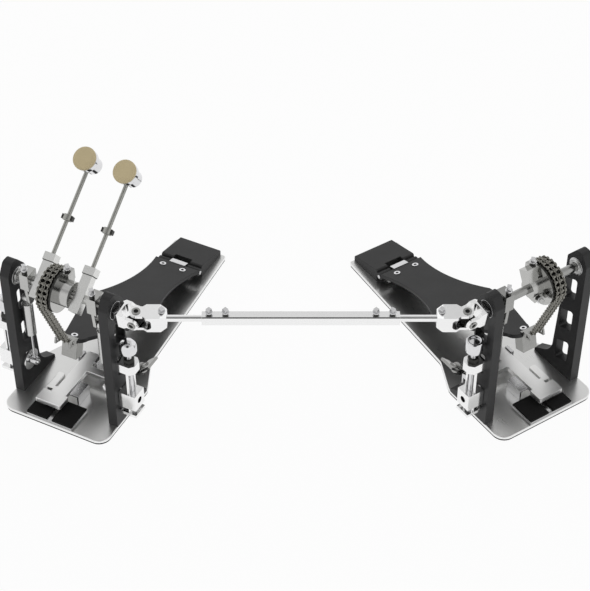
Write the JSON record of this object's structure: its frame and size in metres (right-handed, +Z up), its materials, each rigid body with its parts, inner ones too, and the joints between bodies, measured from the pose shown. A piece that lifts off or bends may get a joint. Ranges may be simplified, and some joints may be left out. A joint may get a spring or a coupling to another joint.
{
  "type": "double bass drum pedal",
  "caption": "Double bass drum pedal: main pedal carrying both beaters, slave pedal driving the second beater through a telescoping shaft with universal joints.",
  "frame": {"origin": "on the floor under the middle of the main pedal's axle", "axes": "+X along the drive shaft from main to slave pedal, +Y towards the heels, +Z up"},
  "size_m": [0.6928, 0.3558, 0.2882],
  "materials": {
    "black_anodised": "matt black anodised aluminium",
    "satin_aluminium": "satin machined",
    "polished_aluminium": "polished",
    "brushed_steel": "brushed stainless",
    "bright_steel": "bright",
    "chain_steel": "oiled dark steel",
    "black_rubber": "matt",
    "felt": "pressed felt",
    "dark_steel": "dark plated"
  },
  "bodies": {
    "main_frame": {"main_base_plate": "brushed_steel", "main_rubber_pads": "black_rubber", "main_outer_post": "black_anodised", "main_inner_post": "black_anodised", "main_heel_plate": "black_anodised", "main_frame_hardware": "bright_steel", "main_tension_blocks": "polished_aluminium"},
    "slave_frame": {"slave_base_plate": "brushed_steel", "slave_rubber_pads": "black_rubber", "slave_outer_post": "black_anodised", "slave_inner_post": "black_anodised", "slave_heel_plate": "black_anodised", "slave_frame_hardware": "bright_steel", "slave_tension_block": "polished_aluminium"},
    "primary_rotor": {"primary_axle": "bright_steel", "primary_cam": "polished_aluminium", "main_chain_wrap": "chain_steel", "primary_beater_holder": "satin_aluminium"},
    "secondary_rotor": {"secondary_axle": "bright_steel", "secondary_beater_holder": "satin_aluminium", "main_axle_yoke": "polished_aluminium"},
    "slave_rotor": {"slave_axle": "bright_steel", "slave_cam": "polished_aluminium", "slave_chain_wrap": "chain_steel", "slave_axle_yoke": "polished_aluminium"},
    "drive_shaft": {"drive_main_rod": "polished_aluminium", "drive_tube": "black_anodised"},
    "slave_shaft": {"drive_slave_rod": "polished_aluminium"},
    "main_cross": {"main_joint_cross": "dark_steel"},
    "slave_cross": {"slave_joint_cross": "dark_steel"},
    "primary_beater": {"primary_beater_shaft": "bright_steel", "primary_beater_head": "bright_steel", "primary_beater_felt": "felt"},
    "secondary_beater": {"secondary_beater_shaft": "bright_steel", "secondary_beater_head": "bright_steel", "secondary_beater_felt": "felt"},
    "primary_spring_can": {"primary_spring_can": "satin_aluminium"},
    "primary_spring_rod": {"primary_spring_rod": "bright_steel"},
    "primary_tension_screw": {"primary_tension_screw": "bright_steel"},
    "primary_tension_carriage": {"primary_tension_carriage": "polished_aluminium"},
    "secondary_spring_can": {"secondary_spring_can": "satin_aluminium"},
    "secondary_spring_rod": {"secondary_spring_rod": "bright_steel"},
    "secondary_tension_screw": {"secondary_tension_screw": "bright_steel"},
    "secondary_tension_carriage": {"secondary_tension_carriage": "polished_aluminium"},
    "slave_spring_can": {"slave_spring_can": "satin_aluminium"},
    "slave_spring_rod": {"slave_spring_rod": "bright_steel"},
    "slave_tension_screw": {"slave_tension_screw": "bright_steel"},
    "slave_tension_carriage": {"slave_tension_carriage": "polished_aluminium"},
    "main_board": {"main_footboard": "black_anodised", "main_toe_bracket": "bright_steel"},
    "main_chain_links": {"main_chain_links": "chain_steel"},
    "main_chain_run": {"main_chain_run": "chain_steel"},
    "main_hoop_jaw": {"main_hoop_jaw": "satin_aluminium"},
    "main_hoop_screw": {"main_hoop_screw": "dark_steel"},
    "slave_board": {"slave_footboard": "black_anodised", "slave_toe_bracket": "bright_steel"},
    "slave_chain_links": {"slave_chain_links": "chain_steel"},
    "slave_chain_run": {"slave_chain_run": "chain_steel"},
    "slave_hoop_jaw": {"slave_hoop_jaw": "satin_aluminium"},
    "slave_hoop_screw": {"slave_hoop_screw": "dark_steel"}
  },
  "joints": [
    {"name": "pedal_spacing", "type": "slide", "parent": "main_frame", "child": "slave_frame", "axis": [1, 0, 0], "range_m": [-0.03, 0.04]},
    {"name": "primary_swing", "type": "hinge", "parent": "main_frame", "child": "primary_rotor", "pos_m": [0, 0, 0.175], "axis": [0.891, -0.454, 0], "range_deg": [0, 50], "stiffness_Nm_per_rad": 1.2, "springref_deg": -17.19},
    {"name": "secondary_swing", "type": "hinge", "parent": "main_frame", "child": "secondary_rotor", "pos_m": [0, 0, 0.175], "axis": [0.891, -0.454, 0], "range_deg": [0, 50], "stiffness_Nm_per_rad": 1.2, "springref_deg": -17.19},
    {"name": "primary_beater_height", "type": "slide", "parent": "primary_rotor", "child": "primary_beater", "axis": [0.3607, 0.7078, 0.6074], "range_m": [-0.004, 0.015]},
    {"name": "secondary_beater_height", "type": "slide", "parent": "secondary_rotor", "child": "secondary_beater", "axis": [0.3607, 0.7078, 0.6074], "range_m": [-0.004, 0.015]},
    {"name": "slave_swing", "type": "hinge", "parent": "slave_frame", "child": "slave_rotor", "pos_m": [0.52722, 0.00964, 0.175], "axis": [0.8329, 0.5534, 0], "range_deg": [0, 48.55]},
    {"name": "shaft_turn", "type": "hinge", "parent": "main_frame", "child": "drive_shaft", "pos_m": [0.08643, -0.04404, 0.175], "axis": [1, 0, 0], "range_deg": [0, 52.76]},
    {"name": "slave_shaft_turn", "type": "hinge", "parent": "slave_frame", "child": "slave_shaft", "pos_m": [0.44643, -0.04404, 0.175], "axis": [1, 0, 0], "range_deg": [0, 52.76]},
    {"name": "main_cross_rock", "type": "hinge", "parent": "secondary_rotor", "child": "main_cross", "pos_m": [0.08643, -0.04404, 0.175], "axis": [-0.4496, -0.8823, -0.1392], "range_deg": [-20.56, 0]},
    {"name": "slave_cross_rock", "type": "hinge", "parent": "slave_rotor", "child": "slave_cross", "pos_m": [0.44643, -0.04404, 0.175], "axis": [0.548, -0.8248, -0.1392], "range_deg": [0, 25.28]},
    {"name": "main_board_hinge", "type": "hinge", "parent": "main_frame", "child": "main_board", "pos_m": [0.11304, 0.22186, 0.018], "axis": [0.891, -0.454, 0], "range_deg": [0, 5.81]},
    {"name": "main_chain_bend", "type": "hinge", "parent": "primary_rotor", "child": "main_chain_links", "pos_m": [-0.01951, -0.01847, 0.17802], "axis": [0.891, -0.454, 0], "range_deg": [-53.89, 0]},
    {"name": "main_chain_hang", "type": "hinge", "parent": "main_chain_links", "child": "main_chain_run", "pos_m": [-0.01877, -0.01701, 0.16553], "axis": [0.891, -0.454, 0], "range_deg": [-3.86, 0]},
    {"name": "slave_board_hinge", "type": "hinge", "parent": "slave_frame", "child": "slave_board", "pos_m": [0.38943, 0.21704, 0.018], "axis": [0.8329, 0.5534, 0], "range_deg": [0, 5.63]},
    {"name": "slave_chain_bend", "type": "hinge", "parent": "slave_rotor", "child": "slave_chain_links", "pos_m": [0.55289, -0.0037, 0.17802], "axis": [0.8329, 0.5534, 0], "range_deg": [-52.27, 0]},
    {"name": "slave_chain_hang", "type": "hinge", "parent": "slave_chain_links", "child": "slave_chain_run", "pos_m": [0.55198, -0.00233, 0.16553], "axis": [0.8329, 0.5534, 0], "range_deg": [-3.74, 0]},
    {"name": "primary_can_hang", "type": "hinge", "parent": "primary_rotor", "child": "primary_spring_can", "pos_m": [-0.04455, 0.0227, 0.145], "axis": [0.891, -0.454, 0], "range_deg": [-62.67, 0]},
    {"name": "primary_knob_turn", "type": "hinge", "parent": "main_frame", "child": "primary_tension_screw", "pos_m": [-0.07306, 0.03723, 0.099], "axis": [0, 0, 1], "range_deg": [-721, 721]},
    {"name": "primary_carriage_lift", "type": "slide", "parent": "main_frame", "child": "primary_tension_carriage", "axis": [0, 0, 1], "range_m": [-0.004, 0.004]},
    {"name": "primary_rod_swing", "type": "hinge", "parent": "primary_tension_carriage", "child": "primary_spring_rod", "pos_m": [-0.04455, 0.0227, 0.046], "axis": [0.891, -0.454, 0], "range_deg": [-12.67, 0]},
    {"name": "secondary_can_hang", "type": "hinge", "parent": "secondary_rotor", "child": "secondary_spring_can", "pos_m": [0.04455, -0.0227, 0.145], "axis": [0.891, -0.454, 0], "range_deg": [-62.67, 0]},
    {"name": "secondary_knob_turn", "type": "hinge", "parent": "main_frame", "child": "secondary_tension_screw", "pos_m": [0.07306, -0.03723, 0.099], "axis": [0, 0, 1], "range_deg": [-721, 721]},
    {"name": "secondary_carriage_lift", "type": "slide", "parent": "main_frame", "child": "secondary_tension_carriage", "axis": [0, 0, 1], "range_m": [-0.004, 0.004]},
    {"name": "secondary_rod_swing", "type": "hinge", "parent": "secondary_tension_carriage", "child": "secondary_spring_rod", "pos_m": [0.04455, -0.0227, 0.046], "axis": [0.891, -0.454, 0], "range_deg": [-12.67, 0]},
    {"name": "slave_can_hang", "type": "hinge", "parent": "slave_rotor", "child": "slave_spring_can", "pos_m": [0.48557, -0.01803, 0.145], "axis": [0.8329, 0.5534, 0], "range_deg": [-60.78, 0]},
    {"name": "slave_knob_turn", "type": "hinge", "parent": "slave_frame", "child": "slave_tension_screw", "pos_m": [0.45892, -0.03574, 0.099], "axis": [0, 0, 1], "range_deg": [-721, 721]},
    {"name": "slave_carriage_lift", "type": "slide", "parent": "slave_frame", "child": "slave_tension_carriage", "axis": [0, 0, 1], "range_m": [-0.004, 0.004]},
    {"name": "slave_rod_swing", "type": "hinge", "parent": "slave_tension_carriage", "child": "slave_spring_rod", "pos_m": [0.48557, -0.01803, 0.046], "axis": [0.8329, 0.5534, 0], "range_deg": [-12.29, 0]},
    {"name": "main_clamp_screw", "type": "hinge", "parent": "main_frame", "child": "main_hoop_screw", "pos_m": [0.06089, 0.00938, 0.033], "axis": [-0.63, 0.321, -0.7071], "range_deg": [-901, 541]},
    {"name": "main_jaw_rock", "type": "hinge", "parent": "main_frame", "child": "main_hoop_jaw", "pos_m": [0.01559, 0.05042, 0.01975], "axis": [0.891, -0.454, 0], "range_deg": [-5, 3]},
    {"name": "slave_clamp_screw", "type": "hinge", "parent": "slave_frame", "child": "slave_hoop_screw", "pos_m": [0.46565, 0.01196, 0.033], "axis": [0.589, 0.3913, -0.7071], "range_deg": [-901, 541]},
    {"name": "slave_jaw_rock", "type": "hinge", "parent": "slave_frame", "child": "slave_hoop_jaw", "pos_m": [0.50594, 0.05793, 0.01975], "axis": [0.8329, 0.5534, 0], "range_deg": [-5, 3]}
  ],
  "couplings": [
    {"joint": "slave_swing", "follows": "secondary_swing", "ratio": 0.9699},
    {"joint": "shaft_turn", "follows": "secondary_swing", "ratio": 1.0541},
    {"joint": "slave_shaft_turn", "follows": "secondary_swing", "ratio": 1.0541},
    {"joint": "main_cross_rock", "follows": "secondary_swing", "ratio": -0.41024},
    {"joint": "slave_cross_rock", "follows": "secondary_swing", "ratio": 0.50464},
    {"joint": "main_board_hinge", "follows": "primary_swing", "ratio": 0.11513},
    {"joint": "main_chain_bend", "follows": "primary_swing", "ratio": -1.0769},
    {"joint": "main_chain_hang", "follows": "primary_swing", "ratio": -0.07613},
    {"joint": "slave_board_hinge", "follows": "secondary_swing", "ratio": 0.11166},
    {"joint": "slave_chain_bend", "follows": "secondary_swing", "ratio": -1.0444},
    {"joint": "slave_chain_hang", "follows": "secondary_swing", "ratio": -0.073839},
    {"joint": "primary_can_hang", "follows": "primary_swing", "ratio": -1.2524},
    {"joint": "primary_knob_turn", "follows": "primary_carriage_lift", "rad_per_m": 3141.6},
    {"joint": "primary_rod_swing", "follows": "primary_swing", "ratio": -0.25235},
    {"joint": "secondary_can_hang", "follows": "secondary_swing", "ratio": -1.2524},
    {"joint": "secondary_knob_turn", "follows": "secondary_carriage_lift", "rad_per_m": 3141.6},
    {"joint": "secondary_rod_swing", "follows": "secondary_swing", "ratio": -0.25235},
    {"joint": "slave_can_hang", "follows": "secondary_swing", "ratio": -1.2147},
    {"joint": "slave_knob_turn", "follows": "slave_carriage_lift", "rad_per_m": 3141.6},
    {"joint": "slave_rod_swing", "follows": "secondary_swing", "ratio": -0.24475},
    {"joint": "main_clamp_screw", "follows": "main_jaw_rock", "ratio": 180},
    {"joint": "slave_clamp_screw", "follows": "slave_jaw_rock", "ratio": 180}
  ]
}
